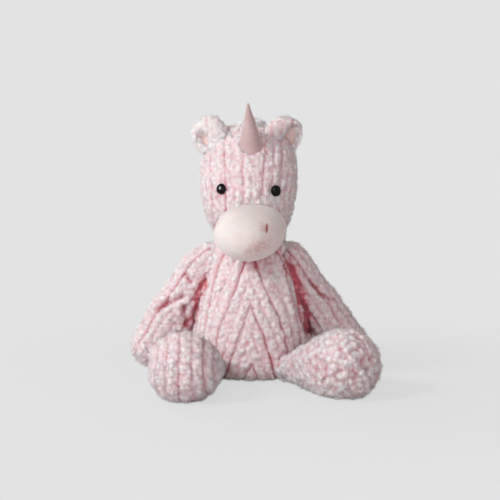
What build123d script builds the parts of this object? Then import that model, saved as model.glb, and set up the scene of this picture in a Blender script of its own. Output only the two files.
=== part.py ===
"""A seated plush unicorn, as its sewn panels, stuffing, pellet pouches, safety eyes and trim.

Millimetres. +Z is up, the floor is Z = 0, the toy faces -Y and its own left is +X.
The origin is on the floor, under the middle of the seat.
"""

from build123d import *
from math import atan2, cos, degrees, radians, sin, sqrt
import os

os.makedirs("parts", exist_ok=True)

# Cloth
PLUSH = 4.0  # ribbed plush: backing and pile together
VELOUR = 1.6  # short velour of the muzzle, horn and ear lining
POUCH_CLOTH = 0.8  # woven cloth of the pellet pouches
BODY_GAP = 0.4  # room between pieces that move past each other

# Torso: a pear that stands on a flat seat
TORSO_HEIGHT = 138.0
TORSO_WIDTH = 118.0
TORSO_DEPTH = 108.0
NECK_Y = 8.0  # the torso leans back this far at the neck
# (share of the height, share of the width, share of the depth)
TORSO_FORM = [
    (0.00, 0.80, 0.74),
    (0.07, 0.95, 0.93),
    (0.28, 1.00, 1.00),
    (0.55, 0.93, 0.93),
    (0.77, 0.80, 0.80),
    (0.93, 0.66, 0.68),
    (1.00, 0.59, 0.60),
]

# Neck: a firm wad of stuffing, flat below and domed above
NECK_RADIUS = 23.0
NOD_DOWN = 8.0  # degrees the head can nod before the chin rests on the chest
NOD_UP = 12.0  # degrees the head can tip back

# Head
HEAD_HEIGHT = 112.0
HEAD_WIDTH = 97.0
HEAD_DEPTH = 104.0
# (share of the height, share of the width, share of the depth, centre's y)
HEAD_FORM = [
    (0.00, 0.70, 0.58, 7.0),
    (0.11, 0.81, 0.78, 2.0),
    (0.25, 0.91, 0.95, -4.0),
    (0.42, 0.98, 1.00, -4.0),
    (0.60, 1.00, 0.90, 0.0),
    (0.77, 0.95, 0.74, 5.0),
    (0.90, 0.80, 0.54, 9.0),
    (0.97, 0.55, 0.33, 10.0),
    (1.00, 0.30, 0.17, 10.0),
]
GUSSET_WIDTH = 44.0  # the strip between the two side panels
CROWN_SEAM_Y = 9.0  # where the front of the gusset meets the back

# Muzzle: an egg that comes forward and down from the face, set a little askew
MUZZLE_WIDTH = 70.0
MUZZLE_LENGTH = 94.0
MUZZLE_HEIGHT = 51.0
MUZZLE_CENTRE = (0.0, -53.0, TORSO_HEIGHT + 13.0)
MUZZLE_DROOP = 10.0  # degrees the nose points down
MUZZLE_TURN = 10.0  # degrees the nose points to its own right
MUZZLE_SEAM_Z = TORSO_HEIGHT + 5.0  # the seam between the upper and lower muzzle panels
CHIN_Y = -45.0  # behind this the chin is cut away to clear the chest
CHIN_Z = TORSO_HEIGHT + 8.0  # up to here

# Nostrils: short satin-stitched slits, placed from the muzzle's centre, the right one further round
NOSTRIL_X = {"left": 21.5, "right": 27.0}
NOSTRIL_UP = 12.0
NOSTRIL_LENGTH = 9.5
NOSTRIL_WIDTH = 2.4
NOSTRIL_DEPTH = 1.6

# Safety eyes, set a little unevenly as they are by hand
EYE_X = {"left": 25.4, "right": 28.0}
EYE_Z = {"left": TORSO_HEIGHT + 51.2, "right": TORSO_HEIGHT + 53.0}
EYE_DIAMETER = 10.0
EYE_HEIGHT = 5.4  # of the dome, above the backing
EYE_SINK = 2.6  # how deep the dome's back lies in the pile
SHANK_DIAMETER = 3.2
SHANK_LENGTH = 13.0
WASHER_DIAMETER = 13.0
WASHER_THICKNESS = 1.2
WASHER_BEHIND = 2.0  # how far behind the cloth the washer locks
SHANK_CLEARANCE = 0.05

# Horn
HORN_BASE = (1.0, -22.0, TORSO_HEIGHT + 90.5)
HORN_TIP = (-2.0, -37.0, TORSO_HEIGHT + 135.3)
HORN_RADIUS = 11.2
HORN_TIP_RADIUS = 1.5

# Ears: cups on the head's upper corners that fold on the seam along their base
EAR_CENTRE = {"left": (31.0, 9.0, TORSO_HEIGHT + 103.0), "right": (36.0, 9.0, TORSO_HEIGHT + 101.5)}
EAR_HALF_WIDTH = 20.0
EAR_HALF_THICKNESS = 9.0
EAR_LENGTH = 23.0  # from the seam to the tip
EAR_CUP_HALF = (11.5, 8.0, 12.5)
EAR_CUP_AT = (2.5, -7.5, 8.0)
EAR_OPENING = 28.0  # degrees from straight ahead, outwards
EAR_LEAN = {"left": 38.0, "right": 42.0}  # degrees from upright, outwards
EAR_SWEEP_HALF = (24.0, 11.6, 14.0)  # the room the foot of a blade sweeps through as it folds
EAR_SWEEP_Z = 8.0

# Mane: a strip of long pile from the horn over the crown and down the back
MANE_WIDTH = 26.0
MANE_CROWN = 20.0  # height of the strip's rounded shoulders
MANE_PILE = 10.0
MANE_TRIM = 1.0  # how much the top of the pile is trimmed
MANE_TAPE = 1.2
MANE_FRONT_Y = 0.0
MANE_BOTTOM_Z = TORSO_HEIGHT + 28.0

# Arms: tapered tubes sewn along a flat seam on the torso's side
SHOULDER_SEAM = (45.0, 8.0, TORSO_HEIGHT - 28.0)
SHOULDER_TILT = 16.0  # degrees the seam leans in towards the neck
ARM_TOP = (31.0, 8.0, TORSO_HEIGHT - 18.5)
HAND_CENTRE = (100.0, 8.0, 26.5)
ARM_TOP_CAP = 12.0
# (distance from the arm's top, radius)
ARM_FORM = [(0.0, 20.5), (20.0, 21.5), (42.0, 22.0), (66.0, 21.5), (90.0, 21.0)]
HAND_RADIUS = 22.5
HAND_END = 21.0  # from the hand's centre to its tip

# Legs: clubs that lie on the floor, pinched where they are sewn on
HIP_X = 34.0
HIP_Z = 15.0
HIP_RADIUS = 13.0
HIP_OUT = 4.0  # how far the root's middle stands out of the torso
LEG_RAISE = 25.0  # degrees a leg can be raised
LEG_RELIEF = 10.0  # how far along a raised leg the torso is cleared for it
LEG_RELIEF_RADIUS = 16.0
LEG_LENGTH = 84.0  # hip seam to the middle of the foot
LEG_SPLAY = {"left": 40.0, "right": 18.0}  # degrees from straight ahead
LEG_MID_RADIUS = 21.0
FOOT_RADIUS = 34.5
FOOT_END = 31.0  # from the middle of the foot to the sole's tip
FOOT_Z = 30.5

# Pellet pouches
SEAT_POUCH_HALF = (36.0, 32.0)
SEAT_POUCH_HEIGHT = 22.0
POUCH_ROUNDING = 6.0
FOOT_POUCH_RADIUS = 19.0
POUCH_LIFT = 3.0  # stuffing under the seat pouch

# Tail
TAIL_Z = 30.0
TAIL_ROOT = 6.5
TAIL_OUT = 1.5  # how far the root's middle stands out of the torso
TAIL_LENGTH = 62.0
TAIL_RADIUS = 14.0
TAIL_END = 22.0  # how far the tip tapers
TAIL_DROP = 13.0  # degrees below the horizontal
TAIL_CORE = 4.0  # radius of the cloth core inside the pile

# Closing stitches down the back seam
STITCH_COUNT = 8
STITCH_FROM_Z = 58.0
STITCH_PITCH = 6.0
STITCH_LENGTH = 7.0
STITCH_RADIUS = 0.55

FAR = 400.0  # half the side of a cutting block, larger than the toy

SIDES = {"left": 1, "right": -1}


def mirrored(point, side):
    """A point given for the left side, on the side asked for."""
    return Vector(side * point[0], point[1], point[2])


def half_space(origin, normal):
    """A block that fills everything beyond a plane, on the side its normal points to."""
    return Plane(origin=origin, z_dir=normal) * Pos(0, 0, FAR / 2) * Box(2 * FAR, 2 * FAR, FAR)


def slab(low, high):
    """A box between two corners."""
    size = Vector(*high) - Vector(*low)
    middle = (Vector(*high) + Vector(*low)) / 2
    return Location(middle) * Box(size.X, size.Y, size.Z)


def ellipsoid(half_x, half_y, half_z):
    """An ellipsoid about the origin."""
    return scale(Sphere(1.0), by=(half_x, half_y, half_z))


def lofted(rows):
    """A smooth solid through upright ellipses: (z, half width, half depth, centre's y)."""
    return loft([Pos(0, y, z) * Ellipse(a, b).face() for z, a, b, y in rows])


def quarter_round(centre, across, up):
    """A quarter of an ellipse, from the side of its centre to the pole above or below it."""
    bulge = 0.5523  # places a cubic's middle points so that it follows an ellipse
    side, pole = (across, centre), (0, centre + up)
    return Bezier(side, (across, centre + bulge * up), (bulge * across, centre + up), pole)


def revolved(form, low_cap, high_cap, wall=0.0):
    """A round solid about Z through (height, radius), with rounded ends this long. wall shrinks it."""
    points = [(r - wall, h) for h, r in form]
    (low_r, low_h), (high_r, high_h) = points[0], points[-1]
    low_cap, high_cap = low_cap - wall, high_cap - wall
    outline = quarter_round(low_h, low_r, -low_cap) + Spline(*points)
    outline += quarter_round(high_h, high_r, high_cap)
    closing = Line((0, high_h + high_cap), (0, low_h - low_cap))
    return revolve(Plane.XZ * make_face(outline + closing), Axis.Z, 360)


def square_to(direction, axis):
    """The part of a direction that is at right angles to an axis."""
    unit = axis.normalized()
    return direction - unit * direction.dot(unit)


def along(start, end):
    """The frame whose Z runs from start to end, with its X level where it can be."""
    z_dir = (end - start).normalized()
    level = Vector(0, 0, 1).cross(z_dir)
    x_dir = level if level.length > 1e-6 else Vector(1, 0, 0)
    return Plane(origin=start, x_dir=x_dir, z_dir=z_dir)


def save(node, shape):
    """Writes one node's STEP file."""
    export_step(Compound(children=list(shape.solids())), f"parts/{node}.step")


# Torso ---------------------------------------------------------------------


def torso_rows(wall=0.0):
    """The torso's sections. The neck end stays open, so a wall lifts only the seat."""
    rows = []
    for up, across, deep in TORSO_FORM:
        z = wall + up * (TORSO_HEIGHT - wall)
        rows.append((z, across * TORSO_WIDTH / 2 - wall, deep * TORSO_DEPTH / 2 - wall, up * NECK_Y))
    return rows


def between(rows, z):
    """(half width, half depth, centre's y) of a list of sections at a height."""
    for low, high in zip(rows, rows[1:]):
        if low[0] <= z <= high[0]:
            share = (z - low[0]) / (high[0] - low[0])
            return tuple(p + share * (q - p) for p, q in zip(low[1:], high[1:]))
    raise ValueError(f"no section at {z}")


def surface_frame(rows, x, z):
    """A frame on a sectioned body's front surface at x and z, with Z pointing out of it."""
    half_x, half_y, centre_y = between(rows, z)
    ahead = half_y * sqrt(1 - (x / half_x) ** 2)
    outward = Vector(x / half_x**2, -ahead / half_y**2, 0)
    return Plane(origin=Vector(x, centre_y - ahead, z), x_dir=Vector(0, 0, 1), z_dir=outward)


def shoulder_normal(side):
    """The outward normal of a shoulder's flat seam."""
    return Vector(side * cos(radians(SHOULDER_TILT)), 0, sin(radians(SHOULDER_TILT)))


def hip(side):
    """The point a leg turns about, just proud of the torso's front surface."""
    return surface_frame(torso_rows(), side * HIP_X, HIP_Z).offset(HIP_OUT).origin


def raised_root(side):
    """The middle of the space that a raised leg's root sweeps, above and ahead of its hip."""
    raised = radians(LEG_RAISE + degrees(atan2(FOOT_Z - HIP_Z, LEG_LENGTH)))
    outward = surface_frame(torso_rows(), side * HIP_X, HIP_Z).z_dir
    return hip(side) + (outward * cos(raised) + Vector(0, 0, sin(raised))) * LEG_RELIEF


def tail_root():
    """The point the tail turns about, just proud of the torso's back surface."""
    _, half_y, centre_y = between(torso_rows(), TAIL_Z)
    return Vector(0, centre_y + half_y + TAIL_OUT, TAIL_Z)


def torso_form(wall):
    """The torso's outer form with a wall taken off all round, and its seams and sockets cut."""
    form = lofted(torso_rows(wall))
    for side in SIDES.values():
        outward = shoulder_normal(side)
        seam = mirrored(SHOULDER_SEAM, side) - outward * wall
        form -= half_space(seam, outward)
        form -= Location(hip(side)) * Sphere(HIP_RADIUS + BODY_GAP + wall)
        form -= Location(raised_root(side)) * Sphere(LEG_RELIEF_RADIUS + wall)
    form -= Location(tail_root()) * Rot(90, 0, 0) * Sphere(TAIL_ROOT + BODY_GAP + wall)
    return form


def seat_pouch(wall):
    """The pellet pouch in the seat: a low rounded pad."""
    half_x, half_y = (h - wall for h in SEAT_POUCH_HALF)
    floor_z = PLUSH + POUCH_LIFT + wall
    top_z = PLUSH + POUCH_LIFT + SEAT_POUCH_HEIGHT - wall
    middle = (floor_z + top_z) / 2
    rim = POUCH_ROUNDING
    return lofted(
        [
            (floor_z, half_x - rim, half_y - rim, 0),
            (middle, half_x, half_y, 0),
            (top_z, half_x - rim, half_y - rim, 0),
        ]
    )


def stitches():
    """The closing stitches: short threads across the back seam."""
    threads = []
    for i in range(STITCH_COUNT):
        z = STITCH_FROM_Z + i * STITCH_PITCH
        _, half_y, centre_y = between(torso_rows(), z)
        thread = Rot(0, 90, 0) * Cylinder(STITCH_RADIUS, STITCH_LENGTH)
        threads.append(Pos(0, centre_y + half_y - 2 * STITCH_RADIUS, z) * thread)
    return threads


def torso():
    """The torso's panels, stuffing, seat pouch and closing stitches."""
    threads = stitches()
    skin = torso_form(0.0) - torso_form(PLUSH) - threads
    save("torso_base", skin & slab((-FAR, -FAR, -FAR), (FAR, FAR, PLUSH)))
    walls = skin & slab((-FAR, -FAR, PLUSH), (FAR, FAR, FAR))
    for name, side in SIDES.items():
        for place, low, high in (("front", -FAR, 0.0), ("back", 0.0, FAR)):
            inner, outer = sorted((0.0, side * FAR))
            save(f"torso_{place}_{name}", walls & slab((inner, low, -FAR), (outer, high, FAR)))
    save("torso_stuffing", torso_form(PLUSH) - seat_pouch(0.0))
    save("seat_pouch", seat_pouch(0.0) - seat_pouch(POUCH_CLOTH))
    save("seat_pellets", seat_pouch(POUCH_CLOTH))
    export_step(Compound(children=threads), "parts/back_closing_stitches.step")


# Neck and head --------------------------------------------------------------

NECK = Vector(0, NECK_Y, TORSO_HEIGHT + BODY_GAP)


def neck():
    """The wad of stuffing that joins the head to the torso."""
    dome = Location(NECK) * Sphere(NECK_RADIUS)
    save("neck_stuffing", dome & half_space(NECK, Vector(0, 0, 1)))


def head_rows(wall=0.0):
    """The head's sections."""
    base = NECK.Z + wall
    rows = []
    for up, across, deep, y in HEAD_FORM:
        z = base + up * (HEAD_HEIGHT - 2 * wall)
        rows.append((z, across * HEAD_WIDTH / 2 - wall, deep * HEAD_DEPTH / 2 - wall, y))
    return rows


def under_head(wall=0.0):
    """The space under the head: a shallow wedge each way, so that it can nod, and the neck's dome."""
    lift = Vector(0, 0, wall)
    down = Vector(0, -sin(radians(NOD_DOWN)), -cos(radians(NOD_DOWN)))
    back = Vector(0, sin(radians(NOD_UP)), -cos(radians(NOD_UP)))
    dome = Location(NECK) * Sphere(NECK_RADIUS + BODY_GAP + wall)
    return [half_space(NECK + lift, down), half_space(NECK + lift, back), dome]


def ear_frame(name):
    """The frame of an ear: X along its base seam, Z up to its tip, -Y out of its opening."""
    side = SIDES[name]
    lean = Rot(0, side * EAR_LEAN[name], 0) * Rot(0, 0, side * EAR_OPENING)
    return Location(mirrored(EAR_CENTRE[name], side)) * lean


def ear_root(room):
    """The rounded root an ear folds on, in the ear's own frame."""
    return ellipsoid(EAR_HALF_WIDTH + room, EAR_HALF_THICKNESS + room, EAR_HALF_THICKNESS + room)


def ear_sweep(room):
    """The space that the foot of a folding ear's blade passes through, in the ear's own frame."""
    return Pos(0, 0, EAR_SWEEP_Z) * ellipsoid(*(h + room for h in EAR_SWEEP_HALF))


def head_form(wall):
    """The head's form with a wall taken off all round, with the neck and ear sockets cut."""
    form = lofted(head_rows(wall)) - under_head(wall)
    for name in SIDES:
        form -= ear_frame(name) * ear_root(BODY_GAP + wall)
        form -= ear_frame(name) * ear_sweep(BODY_GAP + wall)
    return form


def eye(name):
    """A safety eye about its own axis: the dome with its shank."""
    radius = EYE_DIAMETER / 2
    dome = ellipsoid(radius, radius, EYE_HEIGHT) & half_space(Vector(0, 0, 0), Vector(0, 0, 1))
    shank = Pos(0, 0, -SHANK_LENGTH / 2) * Cylinder(SHANK_DIAMETER / 2, SHANK_LENGTH)
    return eye_frame(name) * (dome + shank)


def eye_frame(name):
    """Where an eye's flat back lies in the pile, with Z pointing out of the face."""
    return surface_frame(head_rows(), SIDES[name] * EYE_X[name], EYE_Z[name]).offset(-EYE_SINK)


def washer(name, room=0.0):
    """An eye's locking washer. With room, the block that makes its pocket in the stuffing."""
    radius = WASHER_DIAMETER / 2 + room
    thick = WASHER_THICKNESS + 2 * room
    behind = PLUSH - EYE_SINK + WASHER_BEHIND + WASHER_THICKNESS / 2
    ring = Pos(0, 0, -behind) * Cylinder(radius, thick)
    if not room:
        ring -= Cylinder(SHANK_DIAMETER / 2 + SHANK_CLEARANCE, FAR)
    return eye_frame(name) * ring


def eye_hole(name):
    """The room an eye takes out of the pile, the cloth and the stuffing."""
    radius = EYE_DIAMETER / 2 + SHANK_CLEARANCE
    recess = Pos(0, 0, EYE_HEIGHT / 2) * Cylinder(radius, EYE_HEIGHT)
    deep = SHANK_LENGTH + SHANK_CLEARANCE
    bore = Pos(0, 0, -deep / 2) * Cylinder(SHANK_DIAMETER / 2 + SHANK_CLEARANCE, deep)
    return eye_frame(name) * (recess + bore)


def muzzle_frame():
    """The frame of the muzzle: -Y out of the nose."""
    return Pos(*MUZZLE_CENTRE) * Rot(0, 0, -MUZZLE_TURN) * Rot(MUZZLE_DROOP, 0, 0)


def muzzle_form(wall):
    """The muzzle's egg with a wall taken off, cut where it meets the head."""
    half_x, half_y, half_z = (m / 2 - wall for m in (MUZZLE_WIDTH, MUZZLE_LENGTH, MUZZLE_HEIGHT))
    sections = []
    for angle in (-40, -20, 0, 20, 38, 54, 68, 79, 86):
        forward, across = half_y * sin(radians(angle)), cos(radians(angle))
        plane = Plane(origin=(0, -forward, 0), x_dir=(1, 0, 0), z_dir=(0, -1, 0))
        sections.append(plane * Ellipse(half_x * across, half_z * across).face())
    chest_room = slab((-FAR, CHIN_Y - wall, -FAR), (FAR, FAR, CHIN_Z + wall))
    return muzzle_frame() * loft(sections) - lofted(head_rows()) - chest_room


def nostril(name):
    """A satin-stitched slit on the muzzle's face."""
    side, out = SIDES[name], NOSTRIL_X[name]
    half_x, half_y, half_z = MUZZLE_WIDTH / 2, MUZZLE_LENGTH / 2, MUZZLE_HEIGHT / 2
    ahead = half_y * sqrt(1 - (out / half_x) ** 2 - (NOSTRIL_UP / half_z) ** 2)
    turn = side * degrees(atan2(out / half_x**2, ahead / half_y**2))
    shape = ellipsoid(NOSTRIL_WIDTH / 2, NOSTRIL_DEPTH, NOSTRIL_LENGTH / 2)
    lean = degrees(atan2(NOSTRIL_UP / half_z**2, ahead / half_y**2)) / 2
    face = Pos(side * out, -ahead, NOSTRIL_UP) * Rot(0, 0, turn) * Rot(-lean, 0, 0)
    return muzzle_frame() * face * shape


def horn_form(wall):
    """The horn: a slightly full-sided cone with a rounded tip."""
    start, end = Vector(*HORN_BASE), Vector(*HORN_TIP)
    length = (end - start).length
    root = -HORN_RADIUS  # runs down into the head, where it is cut to the crown
    rim = HORN_RADIUS - wall
    tip = HORN_TIP_RADIUS + wall
    outline = Spline(
        (rim + 0.5, root),
        (rim, 0),
        (HORN_RADIUS * 0.66 - wall * 0.9, length * 0.42),
        (HORN_TIP_RADIUS, length - tip),
        (0, length - wall),
        tangents=[(-0.1, 1), (-1, 0)],
    )
    profile = make_face(outline + Polyline((0, length - wall), (0, root), (rim + 0.5, root)))
    return along(start, end).location * revolve(Plane.XZ * profile, Axis.Z, 360)


def mane_arch():
    """The outline the mane is trimmed to, seen from the front: round over the crown."""
    crown_z = head_rows()[-1][0] + MANE_PILE - MANE_TRIM - MANE_CROWN
    tall = crown_z - MANE_BOTTOM_Z
    arch = Pos(0, crown_z) * Ellipse(MANE_WIDTH / 2, MANE_CROWN)
    arch += Pos(0, crown_z - tall / 2) * Rectangle(MANE_WIDTH, tall)
    above = Pos(0, MANE_BOTTOM_Z + FAR / 2) * Rectangle(FAR, FAR)
    return extrude(Plane.XZ.offset(-FAR) * (arch & above), FAR - MANE_FRONT_Y)


def mane_form(pile):
    """A band over the crown and down the back of the head, this far proud of it."""
    rows = [(z, a + pile, b + pile, y) for z, a, b, y in head_rows()]
    top_z, half_x, half_y, y = rows[-1]
    raised = rows[:-1] + [(top_z + pile, half_x, half_y, y)]
    return lofted(raised) & mane_arch()


def ears():
    """Each ear's plush shell and its velour lining."""
    above = half_space(Vector(0, 0, 0), Vector(0, 0, 1))
    cup_x, cup_y, cup_z = EAR_CUP_AT
    for name, side in SIDES.items():
        place = Pos(side * cup_x, cup_y, cup_z)
        blade = ellipsoid(EAR_HALF_WIDTH, EAR_HALF_THICKNESS, EAR_LENGTH) & above
        body = blade + (ear_root(0.0) - above)
        cup = place * ellipsoid(*EAR_CUP_HALF)
        hollow = place * ellipsoid(*(h - VELOUR for h in EAR_CUP_HALF))
        save(f"ear_plush_{name}", ear_frame(name) * (body - cup))
        save(f"ear_lining_{name}", ear_frame(name) * ((cup - hollow) & body))


def head():
    """The head's panels, stuffing, muzzle, eyes, nostrils, horn and mane."""
    outer, inner = head_form(0.0), head_form(PLUSH)
    holes = [eye_hole(name) for name in SIDES]
    skin = outer - inner - holes
    edge = GUSSET_WIDTH / 2
    save("head_side_left", skin & slab((edge, -FAR, -FAR), (FAR, FAR, FAR)))
    save("head_side_right", skin & slab((-FAR, -FAR, -FAR), (-edge, FAR, FAR)))
    save("head_face", skin & slab((-edge, -FAR, -FAR), (edge, CROWN_SEAM_Y, FAR)))
    save("head_back", skin & slab((-edge, CROWN_SEAM_Y, -FAR), (edge, FAR, FAR)))
    pockets = [washer(name, SHANK_CLEARANCE) for name in SIDES]
    save("head_stuffing", inner - holes - pockets)

    for name in SIDES:
        save(f"eye_{name}", eye(name))
        save(f"eye_washer_{name}", washer(name))

    slits = [nostril(name) for name in SIDES]
    egg, core = muzzle_form(0.0), muzzle_form(VELOUR)
    velour = egg - core - slits
    save("muzzle_upper", velour & slab((-FAR, -FAR, MUZZLE_SEAM_Z), (FAR, FAR, FAR)))
    save("muzzle_lower", velour & slab((-FAR, -FAR, -FAR), (FAR, FAR, MUZZLE_SEAM_Z)))
    save("muzzle_stuffing", core - slits)
    for name, slit in zip(SIDES, slits):
        save(f"nostril_{name}", slit)

    save("horn_cover", horn_form(0.0) - horn_form(VELOUR) - outer)
    save("horn_stuffing", horn_form(VELOUR) - outer)

    apart = [horn_form(0.0)]
    save("mane_pile", mane_form(MANE_PILE) - mane_form(MANE_TAPE) - outer - apart)
    save("mane_tape", mane_form(MANE_TAPE) - outer - apart)


# Limbs and tail --------------------------------------------------------------


def arm_form(side, wall):
    """An arm with a wall taken off, cut flat where it is sewn to the torso."""
    start, end = mirrored(ARM_TOP, side), mirrored(HAND_CENTRE, side)
    length = (end - start).length
    form = [*ARM_FORM, (length, HAND_RADIUS)]
    outward = shoulder_normal(side)
    seam = mirrored(SHOULDER_SEAM, side) + outward * (BODY_GAP + wall)
    tube = along(start, end).location * revolved(form, ARM_TOP_CAP, HAND_END, wall)
    return tube & half_space(seam, outward)


def arms():
    """Each arm's front and back panels and its stuffing."""
    for name, side in SIDES.items():
        start, end = mirrored(ARM_TOP, side), mirrored(HAND_CENTRE, side)
        skin = arm_form(side, 0.0) - arm_form(side, PLUSH)
        front = half_space(start, square_to(Vector(0, -1, 0), end - start))
        save(f"arm_front_{name}", skin & front)
        save(f"arm_back_{name}", skin - front)
        save(f"arm_stuffing_{name}", arm_form(side, PLUSH))


def foot_centre(name, side):
    """The middle of a foot."""
    root = hip(side)
    splay = radians(LEG_SPLAY[name])
    reach = sqrt(LEG_LENGTH**2 - (FOOT_Z - HIP_Z) ** 2)
    return Vector(root.X + side * reach * sin(splay), root.Y - reach * cos(splay), FOOT_Z)


def leg_form(name, side, wall):
    """A leg with a wall taken off, flattened where it lies on the floor."""
    form = [
        (0.0, HIP_RADIUS),
        (LEG_LENGTH * 0.12, HIP_RADIUS),
        (LEG_LENGTH * 0.42, LEG_MID_RADIUS),
        (LEG_LENGTH * 0.74, FOOT_RADIUS * 0.92),
        (LEG_LENGTH, FOOT_RADIUS),
    ]
    club = revolved(form, HIP_RADIUS, FOOT_END, wall)
    club = along(hip(side), foot_centre(name, side)).location * club
    return club & half_space(Vector(0, 0, wall), Vector(0, 0, 1))


def legs():
    """Each leg's upper and lower panels, stuffing and the pellet pouch in its foot."""
    for name, side in SIDES.items():
        skin = leg_form(name, side, 0.0) - leg_form(name, side, PLUSH)
        root, foot = hip(side), foot_centre(name, side)
        upper = half_space(root, square_to(Vector(0, 0, 1), foot - root))
        pouch = Location(foot) * Sphere(FOOT_POUCH_RADIUS)
        pellets = Location(foot) * Sphere(FOOT_POUCH_RADIUS - POUCH_CLOTH)
        save(f"leg_upper_{name}", skin & upper)
        save(f"leg_lower_{name}", skin - upper)
        save(f"leg_stuffing_{name}", leg_form(name, side, PLUSH) - pouch)
        save(f"foot_pouch_{name}", pouch - pellets)
        save(f"foot_pellets_{name}", pellets)


def tail():
    """The tail's pile round its cloth core."""
    start = tail_root()
    drop = radians(TAIL_DROP)
    end = start + Vector(0, cos(drop), -sin(drop)) * TAIL_LENGTH
    form = [
        (0.0, TAIL_ROOT),
        (TAIL_LENGTH * 0.08, TAIL_ROOT),
        (TAIL_LENGTH * 0.35, TAIL_RADIUS * 0.9),
        (TAIL_LENGTH - TAIL_END, TAIL_RADIUS),
    ]
    pile = along(start, end).location * revolved(form, TAIL_ROOT, TAIL_END)
    core = Pos(0, 0, TAIL_LENGTH * 0.43) * Cylinder(TAIL_CORE, TAIL_LENGTH * 0.8)
    core = along(start, end).location * core
    save("tail_pile", pile - core)
    save("tail_core", core)


torso()
neck()
head()
ears()
arms()
legs()
tail()
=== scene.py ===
import math

import bpy
import numpy as np
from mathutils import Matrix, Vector


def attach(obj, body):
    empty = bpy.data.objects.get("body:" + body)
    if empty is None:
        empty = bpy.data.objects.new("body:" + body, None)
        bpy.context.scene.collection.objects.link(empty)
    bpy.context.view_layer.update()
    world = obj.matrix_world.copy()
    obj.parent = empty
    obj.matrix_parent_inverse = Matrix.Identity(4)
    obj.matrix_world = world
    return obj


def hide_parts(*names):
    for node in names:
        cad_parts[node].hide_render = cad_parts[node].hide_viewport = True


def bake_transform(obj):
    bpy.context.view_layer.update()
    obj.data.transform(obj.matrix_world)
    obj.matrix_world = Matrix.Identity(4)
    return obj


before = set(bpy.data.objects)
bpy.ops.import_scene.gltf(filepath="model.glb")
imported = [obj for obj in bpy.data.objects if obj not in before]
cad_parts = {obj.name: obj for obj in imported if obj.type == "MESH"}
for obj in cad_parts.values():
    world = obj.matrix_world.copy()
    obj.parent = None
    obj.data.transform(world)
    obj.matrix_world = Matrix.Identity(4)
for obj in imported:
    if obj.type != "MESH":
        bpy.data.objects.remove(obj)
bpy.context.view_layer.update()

MM = 0.001
SIDES = {"left": 1, "right": -1}
RIB = 9.5  # pitch of the plush's ribs, mm
TAU = 2 * math.pi
BACK, FRONT = math.pi / 2, 1.5 * math.pi  # the angles round z of the toy's back and front

# ---------------------------------------------------------------- noise, all seeded


def hashed(cell, seed):
    """Three values from 0 to 1 for each whole-numbered cell."""
    c = cell.astype(np.int64).astype(np.uint64)
    mix = c[..., 0] * np.uint64(73856093) ^ c[..., 1] * np.uint64(19349663) ^ c[..., 2] * np.uint64(83492791)
    h = (mix ^ np.uint64(seed * 7919 + 17)) & np.uint64(0xFFFFFFFF)
    out = []
    for k in range(3):
        h = ((h ^ (h >> np.uint64(15))) * np.uint64(2246822519 + 2 * k)) & np.uint64(0xFFFFFFFF)
        h = ((h ^ (h >> np.uint64(13))) * np.uint64(3266489917)) & np.uint64(0xFFFFFFFF)
        h = h ^ (h >> np.uint64(16))
        out.append(h / 4294967296.0)
    return np.stack(out, -1)


def drift(p, size, seed):
    """Smooth noise from -1 to 1 at points p."""
    q = p / size + 100
    base = np.floor(q)
    f = q - base
    f = f * f * (3 - 2 * f)
    total = np.zeros(p.shape[:-1])
    for corner in np.ndindex(2, 2, 2):
        weight = np.ones(p.shape[:-1])
        for k in range(3):
            weight = weight * (f[..., k] if corner[k] else 1 - f[..., k])
        total += weight * hashed(base + np.array(corner), seed)[..., 0]
    return total * 2 - 1


def tufts(p, size, seed):
    """Packed round bumps: their height, 1 at a tuft's middle and 0 between, and each tuft's random tone."""
    q = p / size + 100
    base = np.floor(q)
    best = np.full(p.shape[:-1], 9.0)
    tone = np.zeros(p.shape[:-1])
    for step in np.ndindex(3, 3, 3):
        cell = base + np.array(step) - 1
        r = hashed(cell, seed)
        d = ((cell + 0.1 + 0.8 * r - q) ** 2).sum(-1)
        near = d < best
        best = np.where(near, d, best)
        tone = np.where(near, r[..., 1], tone)
    return np.clip(1 - best / 0.62, 0, 1), tone


def ramp(x, low, high):
    """0 below low, 1 above high, smooth between."""
    t = np.clip((x - low) / (high - low), 0, 1)
    return t * t * (3 - 2 * t)


# ---------------------------------------------------------------- surfaces on grids


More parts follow.
